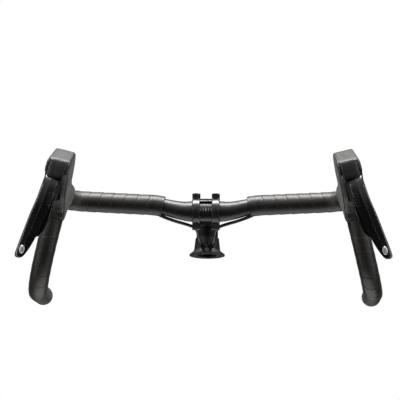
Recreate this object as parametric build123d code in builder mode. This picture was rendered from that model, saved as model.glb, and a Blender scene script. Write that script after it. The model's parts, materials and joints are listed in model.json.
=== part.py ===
from build123d import *
from math import cos, radians, sin
import os

# Drop handlebar with stem, dual-control levers, hoods, tape and brake hoses, in millimetres.
# +Z is up and -Y is the front of the bicycle, so +X is the rider's left hand. The origin is the
# centre of the stem's steerer clamp. Each left-hand piece is modelled and its twin is mirrored.

# ---------------------------------------------------------------- driving dimensions
steerer_lean = 19.0            # degrees from vertical, a 71 degree head angle
steerer_radius = 14.3          # 1 1/8 inch steerer
spacer_bore = 15.2             # the spacers and the cover slip over the steerer
steerer_clamp_height = 40.0
stem_length = 90.0
stem_rise = 13.0               # degrees above level, a -6 degree stem on this head angle
stem_width = 42.0

bar_clamp_radius = 15.9        # 31.8 mm clamp
bar_radius = 11.9              # 23.8 mm grip
bar_wall = 2.2
bar_half_width = 218.0         # centre of each hook where it meets the tops
bar_turn = 14.0                # degrees, how far the bar is rotated nose up in its clamp
bar_flare = 14.0               # degrees, outward lean of the hooks
tops_rise = 16.3
hook_drop = 147.0
tape_radius = 15.4
tape_start = 66.0              # distance of the tape's inner end from the middle

bracket_half_width = 14.5
hood_half_width = 17.5
slot_half_width = 10.0
brake_pivot = (151, 32)        # ahead of and above the hook's top corner
shift_pivot_height = -12.0
cylinder_height = 14.0
cylinder_radius = 5.56
hose_radius = 2.5
hose_gap = 0.6                 # radial room for the hose in the bar and the tape

os.makedirs("parts", exist_ok=True)


def save(piece, name):
    """Label one finished piece and write it."""
    piece.part.label = name
    export_step(piece.part, f"parts/{name}.step")


def save_pair(piece, name):
    """Write a left-hand piece and its mirrored right-hand twin."""
    save(piece, f"left_{name}")
    with BuildPart() as twin:
        add(piece.part)
        mirror(about=Plane.YZ, mode=Mode.REPLACE)
    save(twin, f"right_{name}")


# ---------------------------------------------------------------- planes of the assembly
lean_sin, lean_cos = sin(radians(steerer_lean)), cos(radians(steerer_lean))
rise_sin, rise_cos = sin(radians(stem_rise)), cos(radians(stem_rise))
turn_sin, turn_cos = sin(radians(bar_turn)), cos(radians(bar_turn))
flare_sin, flare_cos = sin(radians(bar_flare)), cos(radians(bar_flare))

# steerer: z up the steerer, y to the rear. stem: z ahead along the stem, y up.
steerer = Plane(origin=(0, 0, 0), x_dir=(1, 0, 0), z_dir=(0, lean_sin, lean_cos))
stem = Plane(origin=(0, 0, 0), x_dir=(1, 0, 0), z_dir=(0, -rise_cos, rise_sin))
clamp = stem.offset(stem_length)
clamp_side = Plane(origin=clamp.origin, x_dir=clamp.z_dir, z_dir=(-1, 0, 0))
steerer_side = Plane(origin=(0, 0, 0), x_dir=-steerer.y_dir, z_dir=(-1, 0, 0))
# bar: the bar's own frame, y to the rear and z up, turned nose up about the clamp.
bar = Plane(origin=clamp.origin, x_dir=(1, 0, 0), z_dir=(0, turn_sin, turn_cos))
# hook: the flared plane of the left hook, x ahead, y up and z inboard.
hook = Plane(
    origin=bar.from_local_coords(Vector(bar_half_width, 0, tops_rise)),
    x_dir=(0, -turn_cos, turn_sin),
    z_dir=(-flare_cos, -flare_sin * turn_sin, -flare_sin * turn_cos),
)


def bar_point(out, ahead, up):
    """A point given in the bar's own frame."""
    return bar.from_local_coords(Vector(out, -ahead, up))


def hook_point(ahead, up, inboard=0.0):
    """A point given in the left hook's plane."""
    return hook.from_local_coords(Vector(ahead, up, inboard))


def steerer_point(out, ahead, up):
    """A point given along the steerer."""
    return steerer.from_local_coords(Vector(out, -ahead, up))


# ---------------------------------------------------------------- centreline of the bar
last_corner = hook_point(58, -hook_drop, 1)
bar_end = hook_point(-80, -hook_drop, -5)
end_run = (bar_end - last_corner).normalized()
with BuildLine() as centreline:
    FilletPolyline(
        bar_point(0, 0, 0),
        bar_point(34, 0, 0),
        bar_point(76, 0, 9.6),
        hook.origin,
        hook_point(74, 0),
        hook_point(88, -72, 2),
        last_corner,
        bar_end,
        radius=(100, 100, 40, 41, 105, 70),
    )
bends = Wire(centreline.edges()).order_edges()


def tube(edges, outer, inner=0.0):
    """A round tube, or a rod where inner is zero, swept along joined edges."""
    path = Wire(edges)
    with BuildPart() as swept:
        with BuildSketch(Plane(origin=path @ 0, z_dir=path % 0)):
            Circle(outer)
            if inner > 0:
                Circle(inner, mode=Mode.SUBTRACT)
        sweep(path=path)
    return swept.part


def rod(start, end, radius, inner=0.0):
    """A straight round bar or sleeve from one point to another."""
    axis = end - start
    with BuildPart() as straight:
        with BuildSketch(Plane(origin=start, z_dir=axis)):
            Circle(radius)
            if inner > 0:
                Circle(inner, mode=Mode.SUBTRACT)
        extrude(amount=axis.length)
    return straight.part


def block(plane, low, high, half_width):
    """A block between two corners drawn on a plane, as wide to each side of it."""
    with BuildPart() as slab:
        with BuildSketch(plane):
            with Locations(((low[0] + high[0]) / 2, (low[1] + high[1]) / 2)):
                Rectangle(high[0] - low[0], high[1] - low[1])
        extrude(amount=half_width, both=True)
    return slab.part


def outline(plane, points, half_width, rounding):
    """A plate with a rounded outline, as thick to each side of its plane."""
    with BuildPart() as plate:
        with BuildSketch(plane) as profile:
            with BuildLine():
                Polyline(*points, close=True)
            make_face()
            fillet(profile.vertices(), rounding)
        extrude(amount=half_width, both=True)
    return plate.part


# ---------------------------------------------------------------- handlebar
def half_bar(shrink):
    """The left half of the bar's outside, with every radius made smaller by shrink."""
    swell = [(0, 1, bar_clamp_radius), (1, 0.5, 14.7), (1, 1, 13.8), (2, 0.5, 13.1), (2, 1, 12.3)]
    swell += [(3, 1, bar_radius)]
    with BuildPart() as half:
        add(rod(bends[0] @ 0, bends[0] @ 1, bar_clamp_radius - shrink))
        for bend, along, radius in swell:
            with BuildSketch(Plane(origin=bends[bend] @ along, z_dir=bends[bend] % along)):
                Circle(radius - shrink)
        loft()
        add(tube(bends[4:], bar_radius - shrink))
    return half.part


hose_points = [
    hook_point(90, 0),
    hook.origin,
    bar_point(100, 0, 10.7),
    bar_point(68, 3, -8),
    bar_point(46, 0, -15.5),
    bar_point(31, -10, -18.5),
    bar_point(14.5, -25, -23),
    steerer_point(11, 42.8, -47.5),
    steerer_point(7.2, 16.2, -48.5),
]


def turn_radius(before, corner, after):
    """The largest arc that two runs of a hose allow at their corner."""
    first, second = corner - before, after - corner
    half_turn = radians(first.get_angle(second) / 2)
    return 0.45 * min(first.length, second.length) * cos(half_turn) / sin(half_turn)


hose_radii = [turn_radius(*hose_points[i - 1:i + 2]) for i in range(1, len(hose_points) - 1)]
print("hose bend radii", [round(radius, 1) for radius in hose_radii])
with BuildLine() as hose_line:
    FilletPolyline(*hose_points, radius=hose_radii)
hose_edges = Wire(hose_line.edges()).order_edges()
hose_room = tube(hose_edges, hose_radius + hose_gap)
bar_outside = half_bar(0)

with BuildPart() as handlebar:
    add(bar_outside)
    add(half_bar(bar_wall), mode=Mode.SUBTRACT)
    add(hose_room, mode=Mode.SUBTRACT)
    mirror(about=Plane.YZ)
save(handlebar, "handlebar")

with BuildPart() as end_plug:
    add(rod(bar_end, bar_end + end_run * 3.5, tape_radius - 0.4))
    fillet(end_plug.faces().sort_by(Axis(bar_end, end_run))[-1].edges(), 1.5)
    add(rod(bar_end, bar_end - end_run * 16, bar_radius - bar_wall))
save_pair(end_plug, "end_plug")

# ---------------------------------------------------------------- bar tape
tape_inner_end = (tape_start - (bends[2] @ 0).X) / ((bends[2] @ 1).X - (bends[2] @ 0).X)
tops_tape_edges = [bends[2].trim(tape_inner_end, 1), *bends[3:7], bends[7].trim(0, 0.25)]
finish_edges = [bends[2].trim(tape_inner_end, 1), bends[3]]

with BuildPart() as bar_tape:
    add(tube(tops_tape_edges, tape_radius))
    add(tube(bends[9:], tape_radius))
    add(bar_outside, mode=Mode.SUBTRACT)
    add(hose_room, mode=Mode.SUBTRACT)
save_pair(bar_tape, "bar_tape")

with BuildPart() as finishing_tape:
    add(tube(finish_edges, tape_radius + 0.4, tape_radius))
    add(hose_room, mode=Mode.SUBTRACT)
save_pair(finishing_tape, "finishing_tape")

# ---------------------------------------------------------------- stem
bolt_radius = 2.5
bolt_spots = [(side * 15, level * 23) for side in (-1, 1) for level in (-1, 1)]
split_gap = 0.6
boss_half_height = 28.0
ring_radius = 20.5
window_half_width = 9.0


def clamp_bolts(head_radius, head_low, head_high, shank_radius, tip):
    """The faceplate's four bolts, or with larger radii the holes that they go through."""
    with BuildPart() as bolts:
        with BuildSketch(clamp.offset(head_low)):
            with Locations(*bolt_spots):
                Circle(head_radius)
        extrude(amount=head_high - head_low)
        with BuildSketch(clamp.offset(tip)):
            with Locations(*bolt_spots):
                Circle(shank_radius)
        extrude(amount=head_low - tip)
    return bolts.part


def pinch_bolts(head_radius, shank_radius):
    """The two bolts across the steerer clamp, one from each side."""
    with BuildPart() as bolts:
        for side, level in ((1, 11), (-1, -11)):
            tip = steerer_point(-11 * side, -22, level)
            neck = steerer_point(6 * side, -22, level)
            add(rod(tip, neck, shank_radius))
            add(rod(neck, steerer_point(11 * side, -22, level), head_radius))
    return bolts.part


with BuildPart() as stem_body:
    with BuildSketch(steerer.offset(-steerer_clamp_height / 2)):
        Circle(18.5)
        with Locations((0, 19)):
            RectangleRounded(23, 17, 3)
    extrude(amount=steerer_clamp_height)
    with BuildSketch(stem.offset(8)):
        RectangleRounded(33, 36, 12)
    with BuildSketch(stem.offset(50)):
        RectangleRounded(34, 33, 12)
    with BuildSketch(stem.offset(75)):
        RectangleRounded(40, 38, 12)
    loft()
    with BuildSketch(clamp_side):
        Circle(ring_radius)
        with Locations((-6, 0)):
            RectangleRounded(13, 2 * boss_half_height, 2.5)
    extrude(amount=stem_width / 2, both=True)
    add(block(clamp_side, (-split_gap, -40), (40, 40), 40), mode=Mode.SUBTRACT)
    for level in (-1, 1):
        gap = sorted((level * 20, level * 40))
        add(block(clamp_side, (-13, gap[0]), (10, gap[1]), window_half_width), mode=Mode.SUBTRACT)
    add(rod(bar_point(-40, 0, 0), bar_point(40, 0, 0), bar_clamp_radius), mode=Mode.SUBTRACT)
    add(rod(steerer_point(0, 0, -30), steerer_point(0, 0, 30), steerer_radius), mode=Mode.SUBTRACT)
    with BuildSketch(steerer.offset(-30)):
        with Locations((0, 22)):
            Rectangle(2, 20)
    extrude(amount=60, mode=Mode.SUBTRACT)
    add(clamp_bolts(bolt_radius, -1, 4, bolt_radius, -13), mode=Mode.SUBTRACT)
    add(pinch_bolts(4.3, bolt_radius), mode=Mode.SUBTRACT)
save(stem_body, "stem_body")

with BuildPart() as stem_faceplate:
    with BuildSketch(clamp_side):
        Circle(ring_radius)
        with Locations((1, 0)):
            RectangleRounded(12, 2 * boss_half_height, 2.5)
    extrude(amount=stem_width / 2, both=True)
    add(block(clamp_side, (-40, -40), (split_gap, 40), 40), mode=Mode.SUBTRACT)
    add(rod(bar_point(-40, 0, 0), bar_point(40, 0, 0), bar_clamp_radius), mode=Mode.SUBTRACT)
    for low, high in ((-40, -14.5), (-9.5, 14.5), (17.5, 40)):
        add(block(clamp_side, (0, low), (30, high), window_half_width), mode=Mode.SUBTRACT)
    add(clamp_bolts(4.5, 3, 30, bolt_radius + 0.25, -1), mode=Mode.SUBTRACT)
save(stem_faceplate, "stem_faceplate")

with BuildPart() as faceplate_bolts:
    add(clamp_bolts(4.2, 3, 8, bolt_radius, -12.5))
    with BuildSketch(clamp.offset(5.5)):
        with Locations(*bolt_spots):
            RegularPolygon(2.3, 6)
    extrude(amount=3, mode=Mode.SUBTRACT)
save(faceplate_bolts, "faceplate_bolts")

with BuildPart() as steerer_clamp_bolts:
    add(pinch_bolts(4.2, bolt_radius))
save(steerer_clamp_bolts, "steerer_clamp_bolts")

# ---------------------------------------------------------------- steerer stack
stem_bottom = -steerer_clamp_height / 2
with BuildPart() as top_cap:
    add(rod(steerer_point(0, 0, 20), steerer_point(0, 0, 24.5), 17.5, 3.1))
    rims = top_cap.edges().filter_by(GeomType.CIRCLE).sort_by(Axis((0, 0, 0), steerer.z_dir))
    fillet(rims[-1], 0.8)
save(top_cap, "top_cap")

with BuildPart() as top_cap_bolt:
    add(rod(steerer_point(0, 0, 20.2), steerer_point(0, 0, 24.5), 3.1))
    add(rod(steerer_point(0, 0, 24.5), steerer_point(0, 0, 27.5), 5.2))
    with BuildSketch(steerer.offset(24.5)):
        RegularPolygon(2.9, 6)
    extrude(amount=4, mode=Mode.SUBTRACT)
save(top_cap_bolt, "top_cap_bolt")

for name, top, height in (("tall", stem_bottom, 10), ("thin", stem_bottom - 10, 5)):
    with BuildPart() as spacer:
        add(rod(steerer_point(0, 0, top - height), steerer_point(0, 0, top), 17, spacer_bore))
        rims = spacer.edges().filter_by(GeomType.CIRCLE).group_by(SortBy.RADIUS)[-1]
        chamfer(rims, 0.5)
    save(spacer, f"headset_spacer_{name}")

cover_top = stem_bottom - 15
cover_bottom = cover_top - 27.5
grommet_run = (hose_points[-1] - hose_points[-2]).normalized()
grommet_start = hose_points[-1] - grommet_run * 5.5
grommet_end = hose_points[-1] - grommet_run * 1.5
hose_solid = tube(hose_edges, hose_radius)

with BuildPart() as hose_grommets:
    add(rod(grommet_start, grommet_end, 3.9, hose_radius))
    mirror(about=Plane.YZ)
save(hose_grommets, "hose_grommets")

with BuildPart() as headset_cover:
    with BuildSketch(steerer_side) as profile:
        with BuildLine():
            Polyline(
                (spacer_bore, cover_top),
                (18.6, cover_top),
                (20.9, cover_top - 20),
                (28, cover_bottom + 1.8),
                (28, cover_bottom),
                (spacer_bore, cover_bottom),
                close=True,
            )
        make_face()
        fillet(profile.vertices().sort_by(Axis((0, 0, 0), steerer.z_dir))[3], 6)
    revolve(axis=Axis((0, 0, 0), steerer.z_dir))
    for part in (hose_solid, hose_solid.mirror(Plane.YZ), hose_grommets.part):
        add(part, mode=Mode.SUBTRACT)
save(headset_cover, "headset_cover")

with BuildPart() as brake_hose:
    add(hose_solid)
save_pair(brake_hose, "brake_hose")

# ---------------------------------------------------------------- clamp band and bracket
band_line = [bends[7].trim(0.62, 0.79)]
band_room = tube(band_line, bar_radius + 1.3)


def cross_rod(spot, radius, half_length):
    """A round rod across the hook's plane."""
    return rod(hook_point(*spot, -half_length), hook_point(*spot, half_length), radius)


def bore_rod(start, end, radius, inner=0.0):
    """A round rod or sleeve on the master cylinder's axis."""
    return rod(hook_point(start, cylinder_height), hook_point(end, cylinder_height), radius, inner)


with BuildPart() as clamp_band:
    add(tube(band_line, bar_radius + 1.3, bar_radius))
save_pair(clamp_band, "clamp_band")

bolt_line = (-9, -9.5)
with BuildPart() as clamp_bolt:
    add(rod(hook_point(82, *bolt_line), hook_point(98, *bolt_line), 2))
    add(rod(hook_point(98, *bolt_line), hook_point(102, *bolt_line), 3.5))
save_pair(clamp_bolt, "clamp_bolt")

with BuildPart() as hose_fitting:
    add(rod(hook_point(80, 0), hook_point(90, 0), 4.5, hose_radius))
    add(rod(hook_point(90, 0), hook_point(96, 0), 3, 1))
save_pair(hose_fitting, "hose_fitting")

body_outline = [
    (58, 4), (64, 14.5), (108, 20), (117, 32), (123, 51), (129, 57), (136, 57), (166, 38),
    (170, 33), (170, 20), (166, 17.5), (152, 8), (140, -6), (126, -15), (104, -22), (95, -33),
    (84, -33), (70, -14),
]
coin_spot = (112, 3)
cell_face = hook.offset(bracket_half_width)

with BuildPart() as bracket_body:
    add(outline(hook, body_outline, bracket_half_width, 1.2))
    add(bar_outside, mode=Mode.SUBTRACT)
    add(band_room, mode=Mode.SUBTRACT)
    add(block(hook, (131, -30), (180, 28), slot_half_width), mode=Mode.SUBTRACT)
    add(block(hook, (143.5, 0), (180, 41), slot_half_width), mode=Mode.SUBTRACT)
    add(block(hook, (126, 31), (138, 50), 8.5), mode=Mode.SUBTRACT)
    add(block(hook, (124.8, 49.5), (139.2, 60), 10.5), mode=Mode.SUBTRACT)
    add(bore_rod(98, 132, cylinder_radius), mode=Mode.SUBTRACT)
    add(rod(hook_point(99.5, 0), hook_point(99.5, 10), 1), mode=Mode.SUBTRACT)
    add(rod(hook_point(95, 0), hook_point(100.5, 0), 1), mode=Mode.SUBTRACT)
    add(rod(hook_point(60, 0), hook_point(90, 0), 4.5), mode=Mode.SUBTRACT)
    add(rod(hook_point(89, 0), hook_point(96, 0), 3), mode=Mode.SUBTRACT)
    add(rod(hook_point(70, *bolt_line), hook_point(98, *bolt_line), 2), mode=Mode.SUBTRACT)
    add(rod(hook_point(98, *bolt_line), hook_point(132, *bolt_line), 3.5), mode=Mode.SUBTRACT)
    add(cross_rod(brake_pivot, 2.5, 20), mode=Mode.SUBTRACT)
    with BuildSketch(cell_face):
        with Locations(coin_spot):
            Circle(10.4)
    extrude(amount=-6, mode=Mode.SUBTRACT)
save_pair(bracket_body, "bracket_body")

with BuildPart() as coin_cell:
    with BuildSketch(cell_face.offset(-6)):
        with Locations(coin_spot):
            Circle(10)
    extrude(amount=3.2)
save_pair(coin_cell, "coin_cell")

with BuildPart() as battery_hatch:
    with BuildSketch(cell_face.offset(-2.6)):
        with Locations(coin_spot):
            Circle(10.4)
    extrude(amount=2.6)
    with BuildSketch(cell_face.offset(-1)):
        with Locations(coin_spot):
            Rectangle(12, 1.6)
    extrude(amount=1, mode=Mode.SUBTRACT)
save_pair(battery_hatch, "battery_hatch")

with BuildPart() as reservoir_cover:
    add(block(hook, (124.8, 49.5), (139.2, 52.5), 10.5))
    add(rod(hook_point(132, 45), hook_point(132, 60), 2.4), mode=Mode.SUBTRACT)
save_pair(reservoir_cover, "reservoir_cover")

with BuildPart() as bleed_screw:
    add(rod(hook_point(132, 46.5), hook_point(132, 53.3), 2.4))
save_pair(bleed_screw, "bleed_screw")

with BuildPart() as lever_pivot_pin:
    add(cross_rod(brake_pivot, 2.5, bracket_half_width))
save_pair(lever_pivot_pin, "lever_pivot_pin")

# ---------------------------------------------------------------- master cylinder
with BuildPart() as master_piston:
    add(bore_rod(112, 124, 5.5))
    add(bore_rod(124, 142.8, 2))
    fillet(master_piston.faces().sort_by(Axis(hook.origin, hook.x_dir))[-1].edges(), 1.9)
    add(bore_rod(115, 117, 6, 4.5), mode=Mode.SUBTRACT)
save_pair(master_piston, "master_piston")

with BuildPart() as piston_seal:
    add(bore_rod(115, 117, 5.5, 4.5))
save_pair(piston_seal, "piston_seal")

spring_start = hook_point(98.6, cylinder_height)
spring_radius = 4.2
spring_wire = 0.45
spring_length = 12.8
with BuildPart() as return_spring:
    with BuildLine() as coil:
        Helix(spring_length / 5.5, spring_length, spring_radius, spring_start, hook.x_dir)
    with BuildSketch(Plane(origin=coil.line @ 0, z_dir=coil.line % 0)):
        Circle(spring_wire)
    sweep(path=coil.line, is_frenet=True)
save_pair(return_spring, "return_spring")

# ---------------------------------------------------------------- brake lever
blade_stations = [
    # ahead, up, outboard, degrees forward of straight down, width, thickness
    (173, 16.5, 4, 12, 23, 7),
    (176.5, 0, 4, 4, 22.5, 8),
    (175, -22, 6, -9, 22.5, 8),
    (169, -46, 10.5, -17, 22.5, 8),
    (160.5, -70, 15, -20, 21.5, 7.5),
    (152.5, -93, 20.5, -15, 18, 7.5),
    (149.5, -111, 25.5, -4, 12, 6),
]
paddle_stations = [
    (158.5, -15, 0, 0, 10, 7),
    (160, -27, 0, -2, 14, 5),
    (157, -46, 3.5, -14, 15, 5),
    (150.5, -66, 8, -20, 13, 5),
    (147.5, -75, 10.5, -18, 8, 4),
]


def station(ahead, up, outboard, forward):
    """A plane across a lever, x inboard and y to the rear, facing down the lever."""
    angle = radians(forward)
    tip = hook_point(ahead + sin(angle), up - cos(angle), -outboard)
    start = hook_point(ahead, up, -outboard)
    return Plane(origin=start, x_dir=hook.z_dir, z_dir=tip - start)


def lever(stations):
    """A lever lofted through rounded sections."""
    with BuildPart() as lofted:
        for ahead, up, outboard, forward, width, thickness in stations:
            with BuildSketch(station(ahead, up, outboard, forward)):
                RectangleRounded(width, thickness, 0.42 * thickness)
        loft()
    return lofted.part


badge_station = station(151.9, -97, 21.6, -13)
badge_face = Plane(badge_station.origin, x_dir=hook.z_dir, z_dir=-badge_station.y_dir)
with BuildPart() as blade_badge:
    with BuildSketch(badge_face.offset(2.2)):
        Ellipse(3.3, 6)
    extrude(amount=1.9)
save_pair(blade_badge, "blade_badge")

with BuildPart() as lever_blade:
    add(lever(blade_stations))
    add(blade_badge.part, mode=Mode.SUBTRACT)
save_pair(lever_blade, "lever_blade")

carrier_outline = [
    (145.8, 34), (151, 38), (157, 37), (165, 30), (169.3, 20), (169.3, 14), (174, 10), (175, -8),
    (166, -17.5), (162.9, -17.5), (162.9, -6), (154.2, -6), (154.2, -17.5), (150, -17.5), (150, -2),
    (146, 4), (143.6, 9), (143.6, 18), (146.5, 25),
]
shift_axis = [hook_point(ahead, shift_pivot_height) for ahead in (150, 166.2)]
with BuildPart() as lever_carrier:
    add(outline(hook, carrier_outline, slot_half_width - 0.5, 0.4))
    add(lever(blade_stations), mode=Mode.SUBTRACT)
    add(cross_rod(brake_pivot, 2.55, 20), mode=Mode.SUBTRACT)
    add(rod(*shift_axis, 1.5), mode=Mode.SUBTRACT)
save_pair(lever_carrier, "lever_carrier")

with BuildPart() as shift_pivot_pin:
    add(rod(*shift_axis, 1.5))
save_pair(shift_pivot_pin, "shift_pivot_pin")

with BuildPart() as shift_paddle:
    add(block(hook, (154.6, -19), (162.5, -7.6), 5))
    add(lever(paddle_stations))
    add(rod(*shift_axis, 1.55), mode=Mode.SUBTRACT)
save_pair(shift_paddle, "shift_paddle")

# ---------------------------------------------------------------- name plate and hood
with BuildPart() as name_plate:
    plate_outline = [(170, 20.5), (175.6, 20.5), (174.8, 33), (171, 39.5), (167, 39), (170, 33)]
    add(outline(hook, plate_outline, 13, 0.3))
    add(bracket_body.part, mode=Mode.SUBTRACT)
save_pair(name_plate, "name_plate")

hood_outline = [
    (42, 19), (84, 20.5), (106, 24.5), (113, 36), (119.5, 54), (127, 60.5), (138, 60.5), (171, 41),
    (175, 34), (176, 20), (161, 15.5), (150, 4), (138, -9), (122, -19), (104, -27), (98, -37.5),
    (76, -37.5), (68, -24), (56, -13), (42, -9),
]
with BuildPart() as hood:
    add(outline(hook, hood_outline, hood_half_width, 3))
    add(outline(hook, body_outline, bracket_half_width, 1.2), mode=Mode.SUBTRACT)
    add(tube(bends[4:9], bar_radius + 1.3), mode=Mode.SUBTRACT)
    add(bar_outside, mode=Mode.SUBTRACT)
    add(bar_tape.part, mode=Mode.SUBTRACT)
    add(name_plate.part, mode=Mode.SUBTRACT)
    add(block(hook, (131, -40), (190, 41), slot_half_width + 0.4), mode=Mode.SUBTRACT)
save_pair(hood, "hood")
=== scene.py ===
import json
import math

import bmesh
import bpy
from mathutils import Matrix, Vector


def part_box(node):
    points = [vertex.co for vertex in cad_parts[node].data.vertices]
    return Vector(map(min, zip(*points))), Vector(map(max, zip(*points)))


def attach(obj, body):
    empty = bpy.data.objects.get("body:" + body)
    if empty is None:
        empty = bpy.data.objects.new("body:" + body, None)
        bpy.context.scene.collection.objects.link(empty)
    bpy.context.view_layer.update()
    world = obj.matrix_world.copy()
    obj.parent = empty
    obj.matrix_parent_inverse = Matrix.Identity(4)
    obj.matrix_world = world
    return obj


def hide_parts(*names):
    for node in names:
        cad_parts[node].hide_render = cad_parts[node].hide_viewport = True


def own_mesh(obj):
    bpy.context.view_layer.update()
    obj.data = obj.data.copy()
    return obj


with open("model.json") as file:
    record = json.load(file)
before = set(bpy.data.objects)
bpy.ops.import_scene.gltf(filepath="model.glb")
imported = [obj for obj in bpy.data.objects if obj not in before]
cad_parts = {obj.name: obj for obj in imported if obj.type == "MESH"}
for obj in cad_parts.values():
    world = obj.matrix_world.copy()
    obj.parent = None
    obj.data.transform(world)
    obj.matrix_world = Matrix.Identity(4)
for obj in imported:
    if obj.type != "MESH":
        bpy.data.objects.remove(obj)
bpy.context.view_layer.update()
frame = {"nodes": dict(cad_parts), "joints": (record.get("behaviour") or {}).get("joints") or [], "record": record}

# ---------------------------------------------------------------- named sizes, in mm unless said
MM = 0.001
PIVOT_AHEAD, PIVOT_UP = 151, 32       # brake pivot in the hook's plane
BAR_HALF_WIDTH, TOPS_RISE = 218, 16.3
BAR_RADIUS, TOPS_TAPE_RADIUS, DROP_TAPE_RADIUS = 11.9, 15.4, 14.6
HOOK_DROP, BAR_REACH, OUTSWEEP = 147, -80, -5
TAPE_START, TAPE_START_RISE = 66, 7.6  # from the middle of the bar
TAPE_PITCH, TOPS_LIP, DROP_LIP = 18.5, 0.5, 0.28
HOOD_HALF_WIDTH, SLOT_HALF_WIDTH = 17.5, 10.4
SIDES = (("left", 1), ("right", -1))

# ---------------------------------------------------------------- planes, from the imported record
joints = {joint["name"]: joint for joint in frame["joints"]}
SIDEWAYS = Vector((1, 0, 0))
OUTBOARD = Vector(joints["left_brake_pull"]["axis"]).normalized()
AHEAD = -Vector(joints["left_shift_push"]["axis"]).normalized()
HOOK_UP = AHEAD.cross(OUTBOARD)
BAR_UP = AHEAD.cross(SIDEWAYS)
pivot = Vector(joints["left_brake_pull"]["pos_m"])
HOOK_ORIGIN = pivot - (AHEAD * PIVOT_AHEAD + HOOK_UP * PIVOT_UP) * MM
CLAMP_CENTRE = HOOK_ORIGIN - (SIDEWAYS * BAR_HALF_WIDTH + BAR_UP * TOPS_RISE) * MM


def hook(ahead, up, inboard=0.0):
    """A point in the left hook's plane."""
    return HOOK_ORIGIN + (AHEAD * ahead + HOOK_UP * up - OUTBOARD * inboard) * MM


def bar(out, ahead, up):
    """A point in the bar's own frame."""
    return CLAMP_CENTRE + (SIDEWAYS * out + AHEAD * ahead + BAR_UP * up) * MM


def hook_matrix():
    """Turns (ahead, up, inboard) in metres into the frame."""
    columns = (AHEAD, HOOK_UP, -OUTBOARD)
    matrix = Matrix([[c[i] for c in columns] for i in range(3)]).to_4x4()
    matrix.translation = HOOK_ORIGIN
    return matrix


bar_end = hook(BAR_REACH, -HOOK_DROP, OUTSWEEP)


# ---------------------------------------------------------------- mesh helpers
WELD, SPECK = 0.02, 0.01              # points and edges closer than this are merged


def smooth_mesh(mesh, angle=40):
    """Shades a mesh smooth, apart from edges sharper than an angle in degrees."""
    for face in mesh.polygons:
        face.use_smooth = True
    mesh.set_sharp_from_angle(angle=math.radians(angle))


def add_piece(name, mesh, body, slot, *nodes):
    """Makes a piece of a finished mesh, which rides on a body and stands for CAD nodes."""
    mesh.name = name
    piece = bpy.data.objects.new(name, mesh)
    bpy.context.scene.collection.objects.link(piece)
    mesh.materials.clear()
    mesh.materials.append(looks[slot])
    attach(piece, body)
    if nodes:
        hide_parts(*nodes)
    return piece


def add_pair(name, mesh, body, slot, *nodes):
    """Adds a left-hand mesh and its mirrored twin. Names get the side in front."""
    for side, sign in SIDES:
        copy = mesh.copy()
        if sign < 0:
            copy.transform(Matrix.Scale(-1, 4, SIDEWAYS))
            copy.flip_normals()
        body_name = body if body == "root" else f"{side}_{body}"
        add_piece(f"{side}_{name}", copy, body_name, slot, *[f"{side}_{n}" for n in nodes])


def mesh_of(points, faces):
    """A clean mesh of points and faces, with its normals outward."""
    shape = bmesh.new()
    corners = [shape.verts.new(point) for point in points]
    for face in faces:
        if len(set(face)) > 2:
            shape.faces.new([corners[i] for i in face])
    bmesh.ops.remove_doubles(shape, verts=shape.verts, dist=WELD * MM)
    bmesh.ops.dissolve_degenerate(shape, edges=shape.edges, dist=SPECK * MM)
    bmesh.ops.recalc_face_normals(shape, faces=shape.faces)
    mesh = bpy.data.meshes.new("work")
    shape.to_mesh(mesh)
    shape.free()
    return mesh


def with_modifiers(mesh, *settings):
    """The mesh that modifiers make of a mesh. Each setting is a type and a dict of values."""
    worker = bpy.data.objects.new("worker", mesh)
    bpy.context.scene.collection.objects.link(worker)
    for kind, values in settings:
        modifier = worker.modifiers.new(kind, kind)
        for key, value in values.items():
            setattr(modifier, key, value)
    bpy.context.view_layer.update()
    graph = bpy.context.evaluated_depsgraph_get()
    result = bpy.data.meshes.new_from_object(worker.evaluated_get(graph))
    bpy.data.objects.remove(worker)
    return result


def loft(rows):
    """Faces that join rings of points, closed at both ends."""
    count = len(rows[0])
    points = [point for row in rows for point in row]
    faces = []
    for r in range(len(rows) - 1):
        for i in range(count):
            j = (i + 1) % count
            a, b = r * count, (r + 1) * count
            faces.append((a + i, a + j, b + j, b + i))
    faces.append(tuple(range(count)))
    faces.append(tuple(range((len(rows) - 1) * count, len(rows) * count)))
    return mesh_of(points, faces)


def spline(stations, t):
    """Catmull-Rom through rows of numbers, at t from 0 to 1."""
    place = t * (len(stations) - 1)
    i = min(int(place), len(stations) - 2)
    f = place - i
    p = [stations[min(max(k, 0), len(stations) - 1)] for k in range(i - 1, i + 3)]
    return [
        0.5 * (2 * b + (c - a) * f + (2 * a - 5 * b + 4 * c - d) * f**2 + (3 * b - a - 3 * c + d) * f**3)
        for a, b, c, d in zip(*p)
    ]


def rim_of(shape):
    """The open edges of a bmesh."""
    return [edge for edge in shape.edges if edge.is_boundary]


def grow_rim(shape, edges):
    """Extrudes edges of a bmesh in place and gives the new points."""
    grown = bmesh.ops.extrude_edge_only(shape, edges=edges)["geom"]
    return [g for g in grown if isinstance(g, bmesh.types.BMVert)]


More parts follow.
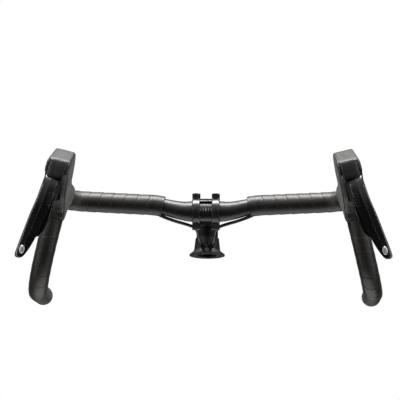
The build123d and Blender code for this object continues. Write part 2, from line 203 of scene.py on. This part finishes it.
# ---------------------------------------------------------------- the bar's centreline
class Line:
    """A polyline with rounded corners, with a frame carried along it without twist."""

    def __init__(self, corners, radii, arc_steps=40):
        self.points = [corners[0]]
        for before, corner, after, radius in zip(corners, corners[1:], corners[2:], radii):
            first, second = (corner - before).normalized(), (after - corner).normalized()
            turn = first.angle(second)
            inward, along = (second - first).normalized(), (second + first).normalized()
            centre = corner + inward * radius * MM / math.cos(turn / 2)
            for k in range(arc_steps + 1):
                angle = (k / arc_steps - 0.5) * turn
                offset = along * math.sin(angle) - inward * math.cos(angle)
                self.points.append(centre + offset * radius * MM)
        self.points.append(corners[-1])
        self.lengths = [0.0]
        for a, b in zip(self.points, self.points[1:]):
            self.lengths.append(self.lengths[-1] + (b - a).length)
        self.frames = []
        side = BAR_UP.copy()
        for k in range(len(self.points)):
            a, b = self.points[max(k - 1, 0)], self.points[min(k + 1, len(self.points) - 1)]
            tangent = (b - a).normalized()
            side = (side - tangent * side.dot(tangent)).normalized()
            self.frames.append((side.copy(), tangent.cross(side)))

    def at(self, distance):
        """The point at a distance in metres, and the two directions across the line there."""
        k = 0
        while k < len(self.lengths) - 2 and self.lengths[k + 1] < distance:
            k += 1
        span = self.lengths[k + 1] - self.lengths[k]
        f = (distance - self.lengths[k]) / span
        point = self.points[k].lerp(self.points[k + 1], f)
        side = self.frames[k][0].lerp(self.frames[k + 1][0], f).normalized()
        other = self.frames[k][1].lerp(self.frames[k + 1][1], f).normalized()
        return point, side, other

    def nearest(self, target):
        """The distance along the line of its point nearest to a target."""
        k = min(range(len(self.points)), key=lambda i: (self.points[i] - target).length)
        a, b = self.points[max(k - 1, 0)], self.points[min(k + 1, len(self.points) - 1)]
        run = (b - a).normalized()
        return self.lengths[max(k - 1, 0)] + max(0.0, (target - a).dot(run))


bar_line = Line(
    [bar(0, 0, 0), bar(34, 0, 0), bar(76, 0, 9.6), hook(0, 0), hook(74, 0), hook(88, -72, 2),
     hook(58, -HOOK_DROP, 1), bar_end],
    (100, 100, 40, 41, 105, 70),
)

# ---------------------------------------------------------------- materials
looks = {}


class Look:
    """A procedural material of one slot, built up node by node."""

    def __init__(self, slot, **sockets):
        self.material = bpy.data.materials.new(slot)
        self.material.use_nodes = True
        self.tree = self.material.node_tree
        self.shader = self.tree.nodes["Principled BSDF"]
        for socket, value in sockets.items():
            self.shader.inputs[socket.replace("_", " ")].default_value = value
        self.place = self.tree.nodes.new("ShaderNodeTexCoord").outputs["Object"]
        looks[slot] = self.material

    def link(self, start, end):
        self.tree.links.new(start, end)

    def node(self, kind, **values):
        made = self.tree.nodes.new(kind)
        for key, value in values.items():
            setattr(made, key, value)
        return made

    def noise(self, scale, detail):
        made = self.node("ShaderNodeTexNoise")
        made.inputs["Scale"].default_value = scale
        made.inputs["Detail"].default_value = detail
        self.link(self.place, made.inputs["Vector"])
        return made.outputs["Fac"]

    def cells(self, scale):
        """Distance to the middle of the nearest of many small cells."""
        made = self.node("ShaderNodeTexVoronoi")
        made.inputs["Scale"].default_value = scale
        self.link(self.place, made.inputs["Vector"])
        return made.outputs["Distance"]

    def ramp(self, factor, *stops):
        """Colours or greys at places from 0 to 1."""
        made = self.node("ShaderNodeValToRGB")
        bands = made.color_ramp.elements
        while len(bands) < len(stops):
            bands.new(0.5)
        for band, (position, colour) in zip(bands, stops):
            band.position = position
            band.color = (*colour, 1) if isinstance(colour, tuple) else (colour,) * 3 + (1,)
        self.link(factor, made.inputs["Fac"])
        return made.outputs["Color"]

    def blend(self, factor, first, second, kind="MIX"):
        made = self.node("ShaderNodeMix", data_type="RGBA", blend_type=kind)
        for socket, value in zip((0, 6, 7), (factor, first, second)):
            if isinstance(value, float):
                made.inputs[socket].default_value = value
            elif isinstance(value, tuple):
                made.inputs[socket].default_value = (*value, 1)
            else:
                self.link(value, made.inputs[socket])
        return made.outputs[2]

    def math(self, operation, *values):
        made = self.node("ShaderNodeMath", operation=operation)
        for socket, value in zip(made.inputs, values):
            if isinstance(value, (int, float)):
                socket.default_value = value
            else:
                self.link(value, socket)
        return made.outputs[0]

    def bump(self, height, depth, strength=1.0):
        """Adds a relief of a depth in mm on top of what is there."""
        made = self.node("ShaderNodeBump")
        made.inputs["Strength"].default_value = strength
        made.inputs["Distance"].default_value = depth * MM
        self.link(height, made.inputs["Height"])
        normal = self.shader.inputs["Normal"]
        if normal.links:
            self.link(normal.links[0].from_socket, made.inputs["Normal"])
        self.link(made.outputs["Normal"], normal)

    def colour(self, value):
        self.link(value, self.shader.inputs["Base Color"])

    def rough(self, value):
        self.link(value, self.shader.inputs["Roughness"])


def plain_finish(slot, dark, light, rough, grain, depth, **sockets):
    """A moulded, painted or metal surface: cloudy colour, dust specks, uneven gloss and fine grain."""
    look = Look(slot, **sockets)
    cloud = look.noise(45, 6)
    specks = look.ramp(look.noise(900, 2), (0.66, 0.0), (0.74, 1.0))
    base = look.ramp(cloud, (0.3, dark), (0.7, light))
    dust = tuple(min(1.0, 1.6 * c + 0.012) for c in light)
    look.colour(look.blend(look.math("MULTIPLY", specks, 0.5), base, dust))
    look.rough(look.ramp(look.noise(140, 5), (0.3, rough[0]), (0.7, rough[1])))
    look.bump(look.noise(grain, 3), depth)
    return look


def grip_look(slot, dark, light, rough, cell, **sockets):
    """Soft foamed tape or rubber with a leather-like grain."""
    look = Look(slot, **sockets)
    cloud = look.noise(60, 6)
    grain = look.cells(cell)
    tone = look.ramp(cloud, (0.3, dark), (0.72, light))
    pits = look.ramp(grain, (0.0, 0.55), (0.45, 1.0))
    look.colour(look.blend(1.0, tone, pits, "MULTIPLY"))
    look.rough(look.ramp(look.noise(220, 5), (0.3, rough[0]), (0.7, rough[1])))
    look.bump(grain, 0.16, 0.7)
    look.bump(look.noise(cell * 2.3, 3), 0.08, 0.6)
    return look


TICK_PITCH, TICK_SHARE = 4, 0.14        # mm, and the share of the pitch that is pale
TICK_REACH, TICK_LOW, TICK_HIGH = 8.5, 3, 7
TICK_PALE = (0.42, 0.42, 0.41)


def bar_look():
    """Satin black paint with a generic scale of pale ticks in the faceplate's window."""
    look = plain_finish("bar_paint", (0.008, 0.008, 0.008), (0.016, 0.016, 0.015), (0.28, 0.42), 1500, 0.02)
    split = look.node("ShaderNodeSeparateXYZ")
    look.link(look.place, split.inputs[0])
    across = look.math("ABSOLUTE", split.outputs["X"])
    phase = look.math("FRACT", look.math("DIVIDE", across, TICK_PITCH * MM))
    tick = look.math("LESS_THAN", phase, TICK_SHARE)
    near = look.math("LESS_THAN", across, TICK_REACH * MM)
    low = look.math("GREATER_THAN", split.outputs["Z"], CLAMP_CENTRE.z + TICK_LOW * MM)
    high = look.math("LESS_THAN", split.outputs["Z"], CLAMP_CENTRE.z + TICK_HIGH * MM)
    mask = look.math("MULTIPLY", look.math("MULTIPLY", tick, near), look.math("MULTIPLY", low, high))
    base = look.shader.inputs["Base Color"].links[0].from_socket
    look.colour(look.blend(mask, base, TICK_PALE))


def make_looks():
    """One material for each slot of the record."""
    bar_look()
    black, soot = (0.006, 0.006, 0.0065), (0.016, 0.016, 0.016)
    plain_finish("stem_paint", black, (0.018, 0.018, 0.018), (0.22, 0.36), 700, 0.05, Coat_Weight=0.3)
    plain_finish("bolt_steel", (0.06, 0.06, 0.063), (0.13, 0.13, 0.135), (0.25, 0.4), 900, 0.03,
                 Metallic=1.0)
    plain_finish("band_steel", (0.28, 0.28, 0.29), (0.42, 0.42, 0.43), (0.25, 0.4), 900, 0.03,
                 Metallic=1.0)
    plain_finish("spacer_anodised", (0.012, 0.012, 0.013), (0.03, 0.03, 0.032), (0.3, 0.42), 1800, 0.02,
                 Metallic=0.6)
    plain_finish("carrier_alloy", (0.02, 0.02, 0.021), (0.045, 0.045, 0.047), (0.3, 0.45), 1200, 0.03,
                 Metallic=0.7)
    plain_finish("badge_silver", (0.72, 0.72, 0.73), (0.82, 0.82, 0.83), (0.38, 0.48), 900, 0.01,
                 Metallic=0.8)
    plain_finish("hose_jacket", black, soot, (0.25, 0.38), 1300, 0.03)
    plain_finish("cover_plastic", black, (0.014, 0.014, 0.014), (0.32, 0.5), 1600, 0.05)
    plain_finish("plug_plastic", black, soot, (0.4, 0.55), 1600, 0.05)
    plain_finish("bracket_plastic", black, soot, (0.4, 0.55), 1400, 0.06)
    plain_finish("plate_plastic", (0.01, 0.01, 0.0105), (0.022, 0.022, 0.022), (0.24, 0.36), 1800, 0.03)
    plain_finish("lever_gloss", (0.004, 0.004, 0.0045), (0.007, 0.007, 0.0075), (0.13, 0.2), 350, 0.006,
                 Coat_Weight=0.5, Coat_Roughness=0.08)
    plain_finish("paddle_gloss", (0.004, 0.004, 0.0045), (0.007, 0.007, 0.0075), (0.14, 0.22), 350, 0.006,
                 Coat_Weight=0.4, Coat_Roughness=0.1)
    grip_look("tape_grip", (0.0105, 0.0093, 0.0078), (0.022, 0.0198, 0.0168), (0.36, 0.48), 780,
              Sheen_Weight=0.12, Sheen_Roughness=0.35)
    grip_look("finish_tape", (0.008, 0.008, 0.008), (0.016, 0.016, 0.016), (0.3, 0.42), 1500)
    grip_look("hood_rubber", (0.0095, 0.0088, 0.0077), (0.020, 0.0186, 0.0163), (0.40, 0.50), 620,
              Sheen_Weight=0.12, Sheen_Roughness=0.35)


make_looks()
for part in frame["record"]["subparts"]:
    node_mesh = frame["nodes"][part["node"]].data
    node_mesh.materials.clear()
    node_mesh.materials.append(looks[part["material_slot"]])


# ---------------------------------------------------------------- bar tape
# share of the pitch, share of the lip above the tape's lowest radius
TAPE_PROFILE = (
    (0.0, -0.35), (0.015, 0.1), (0.03, 0.75), (0.06, 0.97), (0.13, 1.0), (0.3, 0.86), (0.5, 0.62),
    (0.72, 0.32), (0.9, 0.08), (0.97, -0.1),
)
TAPE_COLUMNS = 56
TAPE_UNEVEN = 0.12                    # how far the wraps wander, as a share of the lip
TAPE_TUCK, RIM_DEPTH = 8, 0.3         # mm under the hood, and mm that count as the cut end
TAPE_GAP = 0.05                       # mm between the bar and the turned-down ends
HOOD_REAR, HOOD_FOOT = (50, 0), (80, -30)   # where the two stretches go under the hood


def helical_tape(start, end, hand, low, lip):
    """Overlapped tape wound round the bar between two distances along it."""
    pitch, rows = TAPE_PITCH * MM, len(TAPE_PROFILE)
    turns = int((end - start) / pitch) + 3
    points = []
    for turn in range(-2, turns):
        for share, height in TAPE_PROFILE:
            for column in range(TAPE_COLUMNS):
                s = start + (turn + share + column / TAPE_COLUMNS) * pitch
                s = min(max(s, start), end)
                wander = 0.35 * math.sin(2.3 * turn + 1.0) + 0.25 * math.sin(0.9 * column + turn)
                radius = low + lip * (height + TAPE_UNEVEN * wander)
                middle, side, other = bar_line.at(s)
                angle = hand * 2 * math.pi * column / TAPE_COLUMNS
                points.append(middle + (side * math.cos(angle) + other * math.sin(angle)) * radius * MM)
    faces = []
    total = (turns + 2) * rows
    for row in range(total - 1):
        for column in range(TAPE_COLUMNS):
            here, ahead = row * TAPE_COLUMNS + column, (row + 1) * TAPE_COLUMNS + column
            if column < TAPE_COLUMNS - 1:
                faces.append((here, here + 1, ahead + 1, ahead))
            elif row + 1 + rows < total:
                wrap, wrap_ahead = (row + rows) * TAPE_COLUMNS, (row + 1 + rows) * TAPE_COLUMNS
                faces.append((here, wrap, wrap_ahead, ahead))
    return mesh_of(points, faces)


def tape_with_ends(start, end, hand, low, lip):
    """The wound tape, with its cut ends turned down to the bar."""
    mesh = helical_tape(start, end, hand, low, lip)
    shape = bmesh.new()
    shape.from_mesh(mesh)
    rims = rim_of(shape)
    for s in (start, end):
        middle, side, other = bar_line.at(s)
        along = side.cross(other)
        ring = [e for e in rims if all(abs((v.co - middle).dot(along)) < RIM_DEPTH * MM for v in e.verts)]
        ring = [e for e in ring if all((v.co - middle).length < 2 * low * MM for v in e.verts)]
        for vertex in grow_rim(shape, ring):
            vertex.co = middle + (vertex.co - middle).normalized() * (BAR_RADIUS + TAPE_GAP) * MM
    bmesh.ops.recalc_face_normals(shape, faces=shape.faces)
    shape.to_mesh(mesh)
    shape.free()
    smooth_mesh(mesh, 50)
    return mesh


def join(*meshes):
    """One mesh of several."""
    shape = bmesh.new()
    for mesh in meshes:
        shape.from_mesh(mesh)
    mesh = bpy.data.meshes.new("joined")
    shape.to_mesh(mesh)
    shape.free()
    return mesh


tape_from = bar_line.nearest(bar(TAPE_START, 0, TAPE_START_RISE))
hood_near, hood_far = (bar_line.nearest(hook(*place)) for place in (HOOD_REAR, HOOD_FOOT))
tape = join(
    tape_with_ends(tape_from, hood_near + TAPE_TUCK * MM, 1, TOPS_TAPE_RADIUS, TOPS_LIP),
    tape_with_ends(hood_far, bar_line.nearest(bar_end), -1, DROP_TAPE_RADIUS, DROP_LIP),
)
add_pair("bar_tape_wraps", tape, "root", "tape_grip", "bar_tape")

# ---------------------------------------------------------------- hoods
HOOD_OUTLINE = [
    (42, 19), (84, 20.5), (106, 24.5), (113, 36), (119.5, 54), (127, 60.5), (138, 60.5), (171, 41),
    (175, 34), (176, 20), (161, 15.5), (150, 4), (138, -9), (122, -19), (104, -27), (98, -37.5),
    (76, -37.5), (68, -24), (56, -13), (42, -9),
]
HOOD_VOXEL, HOOD_SMOOTHING = 1.5, 26
WAIST_AHEAD, WAIST_UP, WAIST_LENGTH, WAIST_HEIGHT, WAIST_DEPTH = 88, 6, 26, 22, 0.08
TAPER_FROM, TAPER_HEIGHT, TAPER_IN, TAPER_OUT = 34, 26, 0.10, 0.17
PLATE_HALF_WIDTH, PLATE_GAP = 14.0, 0.4
# ahead and up at two opposite corners, seen from the side
LEVER_SLOT = ((131, -45), (190, 40.5))
PLATE_POCKET = ((169, 10), (190, 40.4))


def box_mesh(low, high):
    """A closed block between two corners, in mm."""
    corners = [Vector((x, y, z)) * MM
               for x in (low[0], high[0]) for y in (low[1], high[1]) for z in (low[2], high[2])]
    faces = [(0, 1, 3, 2), (4, 6, 7, 5), (0, 4, 5, 1), (2, 3, 7, 6), (0, 2, 6, 4), (1, 5, 7, 3)]
    return mesh_of(corners, faces)


def hood_width(ahead, up, inboard):
    """How much of the full half width the hood has at a place on one of its sides."""
    waist = math.exp(-((ahead - WAIST_AHEAD) / WAIST_LENGTH) ** 2)
    waist *= math.exp(-((up - WAIST_UP) / WAIST_HEIGHT) ** 2)
    top = min(1.0, max(0.0, (up - TAPER_FROM) / TAPER_HEIGHT))
    return 1.0 - WAIST_DEPTH * waist - (TAPER_IN if inboard > 0 else TAPER_OUT) * top


def cut(mesh, tool):
    """A mesh with the space of another taken away."""
    cutter = bpy.data.objects.new("cutter", tool)
    bpy.context.scene.collection.objects.link(cutter)
    values = {"operation": "DIFFERENCE", "object": cutter, "solver": "EXACT"}
    left = with_modifiers(mesh, ("BOOLEAN", values))
    bpy.data.objects.remove(cutter)
    return left


def side_block(corners, half_width):
    """A block across the hook's plane, between two corners seen from the side."""
    low, high = corners
    return box_mesh((*low, -half_width), (*high, half_width))


def make_hood():
    """A moulded rubber hood: rounded, waisted where the hand goes, open below for the lever."""
    near = [Vector((a * MM, u * MM, -HOOD_HALF_WIDTH * MM)) for a, u in HOOD_OUTLINE]
    far = [Vector((p.x, p.y, -p.z)) for p in near]
    solid = with_modifiers(
        loft([near, far]),
        ("REMESH", {"mode": "VOXEL", "voxel_size": HOOD_VOXEL * MM}),
        ("SMOOTH", {"factor": 0.5, "iterations": HOOD_SMOOTHING}),
    )
    for vertex in solid.vertices:
        a, u = vertex.co.x / MM, vertex.co.y / MM
        vertex.co.z *= hood_width(a, u, vertex.co.z)
    opened = cut(solid, side_block(LEVER_SLOT, SLOT_HALF_WIDTH))
    opened = cut(opened, side_block(PLATE_POCKET, PLATE_HALF_WIDTH + PLATE_GAP))
    opened.transform(hook_matrix())
    smooth_mesh(opened, 42)
    return opened


PLATE_FRONT, PLATE_BACK, PLATE_LOW, PLATE_TOP = 176.6, 168.5, 12.5, 39.9
PLATE_CROWN, PLATE_LEAN, PLATE_ROUND, PLATE_LOWER_CURVE = 2.6, 5.3, 1.1, 3.5
PLATE_LEAN_FROM = 0.45                # share of the height where the panel starts to lean back
PLATE_COLUMNS, PLATE_ROWS = 24, 20


def make_plate():
    """The smooth panel on the hood's nose: crowned, with rounded edges."""
    columns, rows = PLATE_COLUMNS, PLATE_ROWS
    front = []
    for r in range(rows + 1):
        for c in range(columns + 1):
            across, rise = 2 * c / columns - 1, r / rows
            edge = max(abs(across), abs(2 * rise - 1)) ** 8
            ahead = PLATE_FRONT - PLATE_CROWN * across ** 4
            ahead -= PLATE_LEAN * max(0.0, rise - PLATE_LEAN_FROM) ** 2 + PLATE_ROUND * edge
            low = PLATE_LOW + PLATE_LOWER_CURVE * across ** 2
            front.append(Vector((ahead, low + (PLATE_TOP - low) * rise, PLATE_HALF_WIDTH * across)) * MM)
    width = columns + 1
    faces = [(r * width + c, r * width + c + 1, (r + 1) * width + c + 1, (r + 1) * width + c)
             for r in range(rows) for c in range(columns)]
    panel = mesh_of(front, faces)
    shape = bmesh.new()
    shape.from_mesh(panel)
    for vertex in grow_rim(shape, rim_of(shape)):
        vertex.co.x = PLATE_BACK * MM
    bmesh.ops.contextual_create(shape, geom=rim_of(shape))
    bmesh.ops.recalc_face_normals(shape, faces=shape.faces)
    shape.to_mesh(panel)
    shape.free()
    panel.transform(hook_matrix())
    smooth_mesh(panel, 35)
    return panel


add_pair("hood_skin", make_hood(), "root", "hood_rubber", "hood")
add_pair("nose_panel", make_plate(), "root", "plate_plastic", "name_plate")

# ---------------------------------------------------------------- stem faceplate
STRAP_MIDDLE, STRAP_HALF_WIDTH, STRAP_CROWN = 15.0, 6.0, 1.5
STRAP_REACH, STRAP_AHEAD, STRAP_HEIGHT = 18, 5, 21     # where the straps' outer face is
FACEPLATE_VOXEL, FACEPLATE_SMOOTHING = 0.6, 3


def make_faceplate():
    """The faceplate with its edges rounded off and its two straps crowned."""
    mesh = with_modifiers(
        frame["nodes"]["stem_faceplate"].data.copy(),
        ("REMESH", {"mode": "VOXEL", "voxel_size": FACEPLATE_VOXEL * MM}),
        ("SMOOTH", {"factor": 0.5, "iterations": FACEPLATE_SMOOTHING}),
    )
    for vertex in mesh.vertices:
        place = (vertex.co - CLAMP_CENTRE) / MM
        ahead, level = place.dot(AHEAD), place.dot(BAR_UP)
        across = (abs(place.x) - STRAP_MIDDLE) / STRAP_HALF_WIDTH
        reach = math.hypot(ahead, level)
        if reach > STRAP_REACH and ahead > STRAP_AHEAD and abs(level) < STRAP_HEIGHT:
            vertex.co -= AHEAD * STRAP_CROWN * MM * min(1.0, across ** 4)
    smooth_mesh(mesh, 80)
    return mesh


add_piece("faceplate_shell", make_faceplate(), "root", "stem_paint", "stem_faceplate")

# ---------------------------------------------------------------- brake blades and shift paddles
BLADE_STATIONS = [
    # ahead, up, outboard, degrees forward of straight down, width, thickness
    (167.5, 18.5, 4, 16, 21, 5),
    (174.5, 1, 4, 6, 22.5, 8),
    (175, -22, 6, -9, 22.5, 8),
    (169, -46, 10.5, -17, 22.5, 8),
    (160.5, -70, 15, -20, 21.5, 7.5),
    (152.5, -93, 20.5, -15, 18, 7.5),
    (149.5, -111, 25.5, -4, 12, 6),
]
PADDLE_STATIONS = [
    (158.5, -15, 0, 0, 10, 7),
    (160, -27, 0, -2, 14, 5),
    (157, -46, 2, -14, 15, 5),
    (150.5, -66, 5.5, -20, 13, 5),
    (147.5, -75, 8, -18, 8, 4),
]
# shares of the half width (plus is inboard) and half thickness (minus is the front)
BLADE_SECTION = [
    (-0.97, 0.0), (-0.55, -0.55), (-0.1, -1.02), (-0.02, -1.12), (0.08, -1.04), (0.5, -0.72),
    (0.88, -0.42), (1.0, -0.2), (1.0, 0.25), (0.9, 0.5), (0.4, 0.42), (-0.4, 0.6), (-0.88, 0.9),
    (-1.0, 0.75), (-1.04, 0.35),
]
PADDLE_SECTION = [
    (-1.0, -0.2), (-0.9, -0.7), (-0.2, -0.9), (0.5, -1.0), (0.72, -1.05), (0.86, -0.9), (1.0, -0.4),
    (1.0, 0.5), (0.8, 0.9), (0.0, 0.8), (-0.9, 0.8), (-1.0, 0.4),
]
END_SHRINK = (0.35, 0.72, 0.9, 0.97)  # how full the last rings at each end are
RIB_LOW, RIB_HIGH, RIB_INNER, RIB_OUTER = -33, -9, -2.5, 6
RIB_PITCH, RIB_SLANT, RIB_DEPTH = 4.2, 0.45, 0.7
RIB_FACING = 0.3                      # how far a face must look ahead to carry ribs
BLADE_RINGS, PADDLE_RINGS = 56, 30


def lever_rows(stations, section, count):
    """Rings of points down a lever, drawn in at its two ends."""
    rows = []
    for k in range(count):
        t = k / (count - 1)
        ahead, up, outboard, forward, width, thickness = spline(stations, t)
        angle = math.radians(forward)
        end = min(t, 1 - t) * (count - 1)
        shrink = END_SHRINK[int(end)] if end < len(END_SHRINK) - 0.5 else 1.0
        back = Vector((-math.cos(angle), -math.sin(angle)))
        ring = []
        for x, y in section:
            side, rear = x * width / 2 * shrink, y * thickness / 2 * shrink
            ring.append(hook(ahead + back.x * rear, up + back.y * rear, side - outboard))
        rows.append(ring)
    return rows


def raise_ribs(mesh):
    """Raises slanted anti-slip ribs on the front of a blade."""
    inverse = hook_matrix().inverted()
    for vertex in mesh.vertices:
        local = inverse @ vertex.co / MM
        across = local.z
        height = local.y - RIB_SLANT * across
        edge = min(1.0, max(0.0, min(height - RIB_LOW, RIB_HIGH - height)))
        edge *= min(1.0, max(0.0, min(across - RIB_INNER, RIB_OUTER - across)))
        wave = max(0.0, math.cos(2 * math.pi * (height - RIB_LOW) / RIB_PITCH)) ** 0.5
        if vertex.normal.dot(AHEAD) > RIB_FACING:
            vertex.co += AHEAD * RIB_DEPTH * MM * edge * wave


def make_lever(stations, section, count, ribbed=False):
    """A lever with facets, ribbed where asked."""
    rows = lever_rows(stations, section, count)
    mesh = with_modifiers(loft(rows), ("SUBSURF", {"levels": 2, "render_levels": 2}))
    if ribbed:
        raise_ribs(mesh)
    smooth_mesh(mesh, 60)
    return mesh


blade = make_lever(BLADE_STATIONS, BLADE_SECTION, BLADE_RINGS, ribbed=True)
add_pair("blade_shell", blade, "brake_lever", "lever_gloss", "lever_blade")

BADGE_HALF_WIDTH, BADGE_HALF_LENGTH, BADGE_RISE, BADGE_LIFT = 3.8, 6.4, 1.5, 0.6
BADGE_FORWARD, BADGE_COLUMNS = -13, 40
# share of the rise, share of the half width and length
BADGE_DOME = ((-3.0, 1.0), (0.0, 1.0), (0.35, 0.97), (0.75, 0.8), (0.95, 0.5), (1.0, 0.15))


def make_badge():
    """A plain oval silver dome on the blade's front near its tip."""
    low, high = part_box("left_blade_badge")
    angle = math.radians(BADGE_FORWARD)
    down = AHEAD * math.sin(angle) - HOOK_UP * math.cos(angle)
    front = -down.cross(-OUTBOARD)
    middle = (low + high) / 2 + front * BADGE_LIFT * MM
    rows = []
    for rise, share in BADGE_DOME:
        ring = []
        for k in range(BADGE_COLUMNS):
            turn = 2 * math.pi * k / BADGE_COLUMNS
            across = -OUTBOARD * math.cos(turn) * BADGE_HALF_WIDTH
            along = down * math.sin(turn) * BADGE_HALF_LENGTH
            ring.append(middle + ((across + along) * share + front * rise * BADGE_RISE) * MM)
        rows.append(ring)
    mesh = loft(rows)
    smooth_mesh(mesh, 50)
    return mesh


add_pair("tip_badge", make_badge(), "brake_lever", "badge_silver", "blade_badge")

PADDLE_HUB = ((154.6, -19), (162.5, -7.6))     # ahead and up at two opposite corners
PADDLE_HUB_HALF_WIDTH, PADDLE_HUB_BEVEL = 5, 0.8

paddle = make_lever(PADDLE_STATIONS, PADDLE_SECTION, PADDLE_RINGS)
paddle_hub = with_modifiers(
    side_block(PADDLE_HUB, PADDLE_HUB_HALF_WIDTH),
    ("BEVEL", {"width": PADDLE_HUB_BEVEL * MM, "segments": 3}),
)
paddle_hub.transform(hook_matrix())
smooth_mesh(paddle_hub)
add_pair("paddle_shell", join(paddle, paddle_hub), "shift_lever", "paddle_gloss", "shift_paddle")


def add_springs():
    """The springs behind the pistons, shaded smooth and fixed to the root, each with a mesh of its own."""
    for side, _ in SIDES:
        node = f"{side}_return_spring"
        mesh = frame["nodes"][node].data.copy()
        smooth_mesh(mesh, 60)
        coil = add_piece(f"{side}_spring_coil", mesh, "root", "band_steel", node)
        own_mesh(coil)


add_springs()

# ---------------------------------------------------------------- camera, light and floor
CAMERA_ELEVATION, CAMERA_AZIMUTH = 7.5, 1.5     # degrees, azimuth to the rider's left
CAMERA_DISTANCE = 2.7                           # metres from the bar's clamp
CAMERA_LENS, CAMERA_SENSOR = 158, 36
CAMERA_SHIFT = (-0.015, 0.029)
BAR_HEIGHT, FLOOR_RADIUS = 1.25, 0.9            # metres, the bar above the floor and the floor's disc
PAPER = (0.85, 0.85, 0.84, 1)
# place and size in metres, power in watts; a strip's place is on the rider's left
TOP_BOX = ((0, 0.25, 1.9), (2.6, 1.1), 150)
STRIPS = {
    "front_strip": ((1.3, -1.5, 0.3), (0.035, 3.0), 3.5),
    "side_strip": ((2.0, -0.75, 0.1), (0.12, 3.0), 10),
}
DOME = ((0.15, 0.035), (0.95, 0.6))             # height on the sky from 0 to 1, and its grey


def make_camera():
    """A long lens in front of the bar and a little above it."""
    data = bpy.data.cameras.new("camera")
    data.lens, data.sensor_width = CAMERA_LENS, CAMERA_SENSOR
    data.shift_x, data.shift_y = CAMERA_SHIFT
    data.clip_end = 200
    camera = bpy.data.objects.new("camera", data)
    bpy.context.scene.collection.objects.link(camera)
    lift, swing = math.radians(CAMERA_ELEVATION), math.radians(CAMERA_AZIMUTH)
    away = Vector((math.sin(swing) * math.cos(lift), -math.cos(swing) * math.cos(lift), math.sin(lift)))
    camera.location = CLAMP_CENTRE + away * CAMERA_DISTANCE
    camera.rotation_euler = away.to_track_quat("Z", "Y").to_euler()
    bpy.context.scene.camera = camera


def area_light(name, place, size, power):
    """A soft box that faces the bar's clamp."""
    data = bpy.data.lights.new(name, "AREA")
    data.shape, data.size, data.size_y, data.energy = "RECTANGLE", size[0], size[1], power
    light = bpy.data.objects.new(name, data)
    bpy.context.scene.collection.objects.link(light)
    light.location = place
    light.rotation_euler = (Vector(place) - CLAMP_CENTRE).to_track_quat("Z", "Y").to_euler()


def make_world(tree):
    """A white background whose light on the object is a soft dome, dim near the horizon."""
    output = tree.nodes["World Output"]
    backdrop = tree.nodes["Background"]
    backdrop.inputs["Color"].default_value = (1, 1, 1, 1)
    dome = tree.nodes.new("ShaderNodeBackground")
    place = tree.nodes.new("ShaderNodeTexCoord")
    split = tree.nodes.new("ShaderNodeSeparateXYZ")
    ramp = tree.nodes.new("ShaderNodeValToRGB")
    for band, (position, grey) in zip(ramp.color_ramp.elements, DOME):
        band.position, band.color = position, (grey, grey, grey * 0.98, 1)
    path = tree.nodes.new("ShaderNodeLightPath")
    mix = tree.nodes.new("ShaderNodeMixShader")
    tree.links.new(place.outputs["Generated"], split.inputs[0])
    tree.links.new(split.outputs["Z"], ramp.inputs["Fac"])
    tree.links.new(ramp.outputs["Color"], dome.inputs["Color"])
    tree.links.new(path.outputs["Is Camera Ray"], mix.inputs[0])
    tree.links.new(dome.outputs[0], mix.inputs[1])
    tree.links.new(backdrop.outputs[0], mix.inputs[2])
    tree.links.new(mix.outputs[0], output.inputs["Surface"])


def make_floor():
    """A pale paper disc well below the bar."""
    shape = bmesh.new()
    bmesh.ops.create_circle(shape, cap_ends=True, segments=96, radius=FLOOR_RADIUS)
    mesh = bpy.data.meshes.new("floor")
    shape.to_mesh(mesh)
    shape.free()
    floor = bpy.data.objects.new("floor", mesh)
    bpy.context.scene.collection.objects.link(floor)
    floor.location = CLAMP_CENTRE - Vector((0, 0, BAR_HEIGHT))
    paper = bpy.data.materials.new("paper")
    paper.use_nodes = True
    paper_shader = paper.node_tree.nodes["Principled BSDF"]
    paper_shader.inputs["Base Color"].default_value = PAPER
    paper_shader.inputs["Roughness"].default_value = 0.9
    mesh.materials.append(paper)


def make_lights():
    """One soft box above, and upright strips on both sides for the levers' highlights."""
    area_light("top_box", *TOP_BOX)
    for side, sign in SIDES:
        for name, ((x, y, z), size, power) in STRIPS.items():
            area_light(f"{side}_{name}", (sign * x, y, z), size, power)


scene = bpy.context.scene
scene.view_settings.view_transform = "Standard"
scene.world = scene.world or bpy.data.worlds.new("world")
scene.world.use_nodes = True
make_world(scene.world.node_tree)
make_camera()
make_floor()
make_lights()
